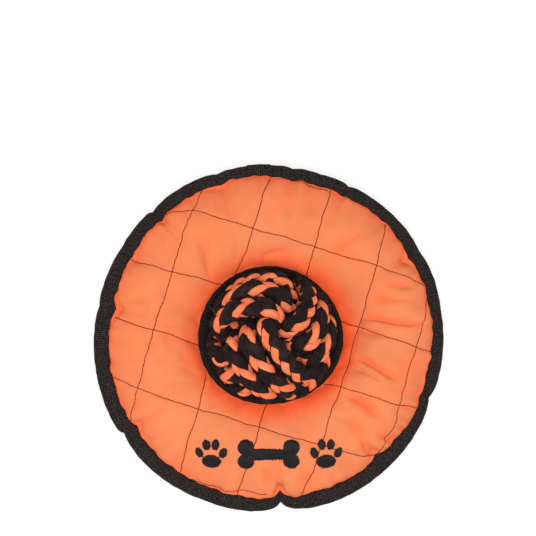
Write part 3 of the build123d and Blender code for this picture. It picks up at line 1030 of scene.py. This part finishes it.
def strand(line, out, beside, way, phase, count, fullness, random):
    """Points round one strand of a braid, along its whole loop.

    Half of the strands run one way round the rope and half the other. Each lies over the others
    in two quarters of its way round and under them in the other two, and is fuller where it lies over.
    """
    part = np.arange(BRAID_STEPS) * 2 * pi / BRAID_STEPS
    round_rope = way * count * part + phase
    over = np.tanh(BRAID_SNAP * way * np.sin(2 * round_rope)) / tanh(BRAID_SNAP)
    waver = 1 + STRAND_UNEVEN * ripple(part, (5, 8, 13, 21), random.integers(1e6))
    wide = BRAID_HALF_WIDTH * waver * (1 + BRAID_SPREAD * over) * np.sin(round_rope)
    high = BRAID_HALF_HEIGHT * waver * (1 + BRAID_WEAVE * over) * np.cos(round_rope)
    middle = line + beside * wide[:, None] + out * high[:, None]
    facing = unit(beside * (np.sin(round_rope) / BRAID_HALF_WIDTH)[:, None]
                  + out * (np.cos(round_rope) / BRAID_HALF_HEIGHT)[:, None])
    along = closed_tangent(middle)
    side = unit(np.cross(along, facing))
    up = np.cross(side, along)
    swell = fullness * (1 + STRAND_UNEVEN * ripple(part, (9, 14, 23, 35), random.integers(1e6)))
    swell = (swell * (1 + STRAND_PUFF * over))[:, None]
    turn = np.arange(STRAND_SIDES) * 2 * pi / STRAND_SIDES
    oval = (side[:, None] * (STRAND_HALF_WIDTH * swell * np.cos(turn))[..., None]
            + up[:, None] * (STRAND_HALF_HEIGHT * swell * np.sin(turn))[..., None])
    return seated(middle[:, None] + oval) + BALL_CENTRE


def fibre_places(length, fullness, random):
    """Places in a strand's own yarn: along its streaks, and on its cross-section."""
    along = np.linspace(0, length, BRAID_STEPS)[:, None] + random.uniform(0, 500)
    turn = np.arange(STRAND_SIDES) * 2 * pi / STRAND_SIDES + along * 2 * pi / FIBRE_TWIST
    wide = STRAND_HALF_WIDTH * fullness
    return np.stack([np.broadcast_to(along / FIBRE_STRETCH, turn.shape), wide * np.cos(turn),
                     wide * np.sin(turn)], -1)


def make_wrap(wrap, random):
    """Three turns of braided rope round the ball.

    Returns its black strands, its orange ones, and the black ones of the turn in two halves.
    """
    ways = wrap_ways(wrap)
    bodies, fibres, blacks, splits = [], [], [], []
    quarter = 2 * pi / STRANDS_EACH_WAY
    for index, offset in enumerate(TURN_OFFSETS):
        line, out, beside, length = turn_line(*ways, offset)
        count = round(length / BRAID_PITCH)
        split = index == wrap.split_turn
        shift = random.uniform(0, 2 * pi)
        for way in (1, -1):
            for number in range(STRANDS_EACH_WAY):
                black = way == wrap.black_way if split else bool(number % 2)
                phase = number * quarter + (0 if way > 0 else quarter / 2) + way * shift
                fullness = BLACK_FULLNESS if black else ORANGE_FULLNESS
                bodies.append(strand(line, out, beside, way, phase, count, fullness, random))
                fibres.append(fibre_places(length, fullness, random))
                blacks.append(black)
                splits.append(split and black)
    bodies, blacks = np.array(bodies), np.array(blacks)
    faces = grid_quads(BRAID_STEPS, STRAND_SIDES)[:, ::-1]
    quads = repeated(faces, len(bodies), BRAID_STEPS * STRAND_SIDES)
    piece = make_piece(f"braided_wrap_{wrap.name}", (bodies, quads), "orange_rope black_rope",
                       "two_colour_rope", f"rope_wrap_{wrap.name}", "ball", {"fibre": fibres})
    finish = np.repeat(blacks.astype(np.int32), len(faces))
    piece.data.polygons.foreach_set("material_index", finish)
    return bodies[blacks], bodies[~blacks], bodies[splits]


def fuzz_paths(bodies, count, longest, random):
    """Paths of loose fibre ends that stand off each strand, and the ways that they face."""
    paths, ups = [], []
    part = np.linspace(0, 1, 4)[None, :, None]
    for body in bodies:
        step, around = random.integers(0, BRAID_STEPS, count), random.integers(0, STRAND_SIDES, count)
        base = body[step, around]
        up = unit(base - body[step].mean(axis=1))
        ahead = unit(body[(step + 2) % BRAID_STEPS, around] - base)
        ahead *= random.choice((-1, 1), (count, 1))
        aside = np.cross(up, ahead)
        reach = random.uniform(0.35, 1.0, (count, 1, 1)) * longest
        stand = random.uniform(0.1, 0.35, (count, 1, 1)) * reach
        curl = random.uniform(-0.9, 0.9, (count, 1, 1)) * reach
        paths.append(base[:, None] + ahead[:, None] * reach * part + aside[:, None] * curl * part**2
                     + up[:, None] * (stand * part**1.5 - 0.1))
        ups.append(np.broadcast_to(up[:, None], paths[-1].shape))
    paths = np.concatenate(paths)
    paths[..., 2] = np.maximum(paths[..., 2], FUZZ_WIDTH)
    return paths, np.concatenate(ups)


def make_ball():
    """Three crossing wraps of braided rope, their loose fibres, and the core's finish."""
    random = np.random.default_rng(61)
    black, orange, split = zip(*(make_wrap(wrap, random) for wrap in WRAPS))
    black, orange = np.concatenate(black), np.concatenate(orange)
    fuzzy = {"black": np.concatenate([black, split[-1], split[-1]]), "orange": orange}
    for name, bodies in fuzzy.items():
        paths, ups = fuzz_paths(bodies, FUZZ_PER_STRAND[name], FUZZ_LENGTH, random)
        make_piece(f"{name}_strand_fuzz", tubes(paths, ups, FUZZ_WIDTH, FUZZ_WIDTH, 4),
                   f"{name}_fuzz", "two_colour_rope", body="ball")
    paths, ups = fuzz_paths(black, 2, WISP_LENGTH, random)
    clear = paths[..., 2].min(axis=1) > COLLAR_HEIGHT + WISP_CLEARANCE
    make_piece("pulled_yarn_wisps", tubes(paths[clear], ups[clear], WISP_WIDTH, WISP_WIDTH * 0.6),
               "black_fuzz", "two_colour_rope", body="ball")
    for core_slot in frame["nodes"]["ball_core"].material_slots:
        core_slot.material = FINISHES["foam"]


# ===== materials
# A texture's scale counts per metre: noise of 1400 gives specks of 0.7 mm, and a wave of 250 has
# 1.3 mm bands. The cloth's real threads lie 0.4 mm apart, and are drawn coarser so that they show.
# The ribs of the webbing and the streaks of the rope count per millimetre along themselves.
RIB_PITCH = 1.3


def colour(hex_value):
    """An sRGB hex colour as linear values."""
    parts = [int(hex_value[k:k + 2], 16) / 255 for k in (1, 3, 5)]
    return (*[p / 12.92 if p <= 0.04045 else ((p + 0.055) / 1.055) ** 2.4 for p in parts], 1.0)


def add(tree, kind, inputs=None, **settings):
    """Adds a shader node with its settings. Each input is given a value, or a socket or node to link."""
    node = tree.nodes.new("ShaderNode" + kind)
    for key, value in settings.items():
        setattr(node, key, value)
    for key, value in (inputs or {}).items():
        if isinstance(value, bpy.types.Node):
            value = next(socket for socket in value.outputs if socket.enabled)
        if isinstance(value, bpy.types.NodeSocket):
            tree.links.new(value, node.inputs[key])
        else:
            node.inputs[key].default_value = value
    return node


def new_material(name):
    """An empty node material and its tree."""
    material = bpy.data.materials.new(name)
    material.use_nodes = True
    material.node_tree.nodes.clear()
    return material, material.node_tree


def finish_material(tree, base_colour, relief, strength, depth, roughness, shine):
    """Joins a colour and a relief of some millimetres to the material's surface."""
    bump = add(tree, "Bump", {"Height": relief, "Strength": strength, "Distance": depth * MM})
    shader = add(tree, "BsdfPrincipled", {"Base Color": base_colour, "Normal": bump, "Roughness": roughness,
                                          "Specular IOR Level": shine})
    add(tree, "OutputMaterial", {"Surface": shader})


def object_place(tree):
    """Where a point lies on its own object, in metres."""
    return add(tree, "TexCoord").outputs["Object"]


def cloth_material():
    """Dyed polyester oxford cloth: a plain weave, painted deeper in colour in the hollow and in creases,
    as painted shade.
    """
    material, tree = new_material("orange_polyester_oxford")
    place = object_place(tree)
    shade = add(tree, "Attribute", attribute_name="shade").outputs["Fac"]
    patch = add(tree, "TexNoise", {"Vector": place, "Scale": 45.0, "Detail": 3.0})
    faded = add(tree, "Mix", {"Factor": patch, "A": colour("#C66C41"), "B": colour("#D27B52")},
                data_type="RGBA")
    # painted shade: where the shade attribute is high, the colour is mixed towards a deeper red-orange
    base_colour = add(tree, "Mix", {"Factor": shade, "A": faded, "B": colour("#F4582C")}, data_type="RGBA")
    warp, weft = (add(tree, "TexWave", {"Vector": place, "Scale": 250.0, "Distortion": 0.3},
                      bands_direction=way).outputs["Fac"] for way in "XY")
    weave = add(tree, "Math", {0: warp, 1: weft}, operation="MULTIPLY")
    finish_material(tree, base_colour, weave, strength=0.12, depth=0.2, roughness=0.75, shine=0.15)
    return material


def webbing_material(name, pale_fibres):
    """Black polyester grosgrain: ribs across the tape, with a dusting of paler fibre ends, and painted
    shade that darkens the grooves between the ribs a little.
    """
    material, tree = new_material(name)
    along = add(tree, "Attribute", attribute_name="along").outputs["Fac"]
    angle = add(tree, "Math", {0: along, 1: 2 * pi / RIB_PITCH}, operation="MULTIPLY")
    rib = add(tree, "Math", {0: angle}, operation="SINE")
    speck = add(tree, "TexNoise", {"Vector": object_place(tree), "Scale": 1400.0, "Detail": 2.0})
    height = add(tree, "Math", {0: rib, 1: speck}, operation="ADD")
    # the ribs' crests are painted a little paler than their grooves, as painted shade; the specks are
    # paler fibre ends
    lit = add(tree, "Math", {0: rib, 1: 0.08, 2: speck}, operation="MULTIPLY_ADD")
    pale = add(tree, "MapRange", {"Value": lit, "From Min": 0.44, "From Max": 0.78})
    base_colour = add(tree, "Mix", {"Factor": pale, "A": colour("#0F0B0A"), "B": colour(pale_fibres)},
              data_type="RGBA")
    finish_material(tree, base_colour, height, strength=0.8, depth=0.3, roughness=0.8, shine=0.1)
    return material


def rope_material(name, dark, light, edge):
    """Soft cotton yarn, dyed through: streaks of fibres along it, paler where they catch the light."""
    material, tree = new_material(name)
    place = add(tree, "Attribute", attribute_name="fibre").outputs["Vector"]
    streak = add(tree, "TexNoise", {"Vector": place, "Scale": 1.6, "Detail": 5.0, "Roughness": 0.65})
    sharp = add(tree, "MapRange", {"Value": streak, "From Min": 0.3, "From Max": 0.7})
    base_colour = add(tree, "Mix", {"Factor": sharp, "A": colour(dark), "B": colour(light)}, data_type="RGBA")
    patch = add(tree, "TexNoise", {"Vector": object_place(tree), "Scale": 160.0, "Detail": 2.0})
    worn = add(tree, "MapRange", {"Value": patch, "From Min": 0.45, "From Max": 0.75, "To Max": 0.5})
    faded = add(tree, "Mix", {"Factor": worn, "A": base_colour, "B": colour(edge)}, data_type="RGBA")
    finish_material(tree, faded, streak, strength=0.7, depth=0.5, roughness=0.9, shine=0.08)
    return material


def yarn_material(name, dark, light, roughness, scale=700.0, shine=0.1):
    """Spun yarn or thread: two close tones in fine streaks."""
    material, tree = new_material(name)
    streak = add(tree, "TexNoise", {"Vector": object_place(tree), "Scale": scale, "Detail": 3.0})
    base_colour = add(tree, "Mix", {"Factor": streak, "A": colour(dark), "B": colour(light)}, data_type="RGBA")
    finish_material(tree, base_colour, streak, strength=0.4, depth=0.3, roughness=roughness, shine=shine)
    return material


FINISHES = {
    "cloth": cloth_material(),
    "webbing": webbing_material("plain_black_grosgrain", "#463E3B"),
    # The collar's copy has darker fibre ends: painted shade, where the ball shades the collar.
    "collar_webbing": webbing_material("painted_shade_black_grosgrain", "#2D2523"),
    "lining": yarn_material("undyed_polyester_lining", "#CFC9BF", "#E2DDD5", 0.85),
    "fibre": yarn_material("white_polyester_fibrefill", "#E6E3DC", "#F6F4F0", 0.95),
    "quilt_thread": yarn_material("dark_brown_quilting_thread", "#6A1400", "#8C2604", 0.7),
    "black_thread": yarn_material("black_polyester_thread", "#16110F", "#2B2523", 0.6),
    "embroidery": yarn_material("black_rayon_embroidery_thread", "#0F0B0D", "#1D171A", 0.5, shine=0.15),
    "backing": yarn_material("nonwoven_backing", "#DDDAD3", "#EFEDE8", 0.9),
    "foam": yarn_material("grey_foam_core", "#333335", "#454547", 0.9, 400.0),
    "orange_rope": rope_material("orange_cotton_strand", "#C9552B", "#E47D54", "#E88B66"),
    "black_rope": rope_material("black_cotton_strand", "#0C0606", "#251918", "#392A29"),
    "black_fuzz": yarn_material("faded_cotton_fibres", "#40383A", "#786C6C", 0.9, 200.0),
    "orange_fuzz": yarn_material("orange_cotton_fibres", "#FF9A68", "#FFC6A4", 0.9, 200.0),
}


# ===== the picture
def make_camera():
    """A camera straight above the ring."""
    data = bpy.data.cameras.new("camera")
    data.sensor_width = SENSOR
    data.lens = SENSOR * (CAMERA_PLACE[2] - RIM_HEIGHT) / VIEW_WIDTH
    data.clip_end = 10.0
    scene.camera = new_object("camera", data)
    scene.camera.location = Vector(CAMERA_PLACE) * MM


def make_lamp(name, place, size, power):
    """A square soft lamp, turned to the ring."""
    data = bpy.data.lights.new(name, "AREA")
    data.shape = "SQUARE"
    data.size = size
    data.energy = power
    lamp = new_object(name, data)
    lamp.location = place
    lamp.rotation_euler = (-Vector(place)).to_track_quat("-Z", "Y").to_euler()


def seen_directly(tree):
    """1 for rays from the camera, and for those that come off a glossy face or through a clear one."""
    path = add(tree, "LightPath").outputs
    either = add(tree, "Math", {0: path["Is Camera Ray"], 1: path["Is Glossy Ray"]},
                 operation="MAXIMUM")
    return add(tree, "Math", {0: either, 1: path["Is Transmission Ray"]}, operation="MAXIMUM")


def make_world():
    """Even pale light from all round, and white behind the object."""
    scene.world = bpy.data.worlds.new("world")
    scene.world.use_nodes = True
    tree = scene.world.node_tree
    tree.nodes.clear()
    light, white = (add(tree, "Background", {"Color": (1, 1, 1, 1), "Strength": strength})
                    for strength in (WORLD_LIGHT, 1.0))
    mixed = add(tree, "MixShader", {0: seen_directly(tree), 1: light, 2: white})
    add(tree, "OutputWorld", {"Surface": mixed})


def make_floor():
    """A wide pale floor that keeps a faint shadow, and lies in the dark under the ring."""
    material, tree = new_material("white_floor")
    out = add(tree, "VectorMath", {0: object_place(tree)}, operation="LENGTH")
    dark, pale = (share * RIM_RADIUS * MM for share in FLOOR_DARK)
    open_floor = add(tree, "MapRange", {"Value": out.outputs["Value"], "From Min": dark,
                                        "From Max": pale, "To Max": FLOOR_WHITE})
    share = add(tree, "Math", {0: seen_directly(tree), 1: open_floor}, operation="MULTIPLY")
    lit = add(tree, "BsdfDiffuse", {"Color": (0.95, 0.95, 0.95, 1)})
    white = add(tree, "Emission", {"Color": (1, 1, 1, 1), "Strength": 1.0})
    mixed = add(tree, "MixShader", {0: share, 1: lit, 2: white})
    add(tree, "OutputMaterial", {"Surface": mixed})
    mesh = bpy.data.meshes.new("floor")
    corners = [(x * FLOOR_REACH, y * FLOOR_REACH, 0) for x, y in ((-1, -1), (1, -1), (1, 1), (-1, 1))]
    mesh.from_pydata(corners, [], [(0, 1, 2, 3)])
    mesh.materials.append(material)
    new_object("floor", mesh)


def main():
    """Builds everything."""
    scene.view_settings.view_transform = "Standard"
    top, under = cover_face(TOP), cover_face(UNDER)
    make_covers(top, under)
    rim, collar = make_webbing(top, under)
    make_quilting(top, under)
    make_seams(rim, collar)
    make_embroidery(top)
    make_loose_ends()
    make_ball()
    make_camera()
    make_world()
    make_floor()
    for lamp in LAMPS:
        make_lamp(*lamp)


main()
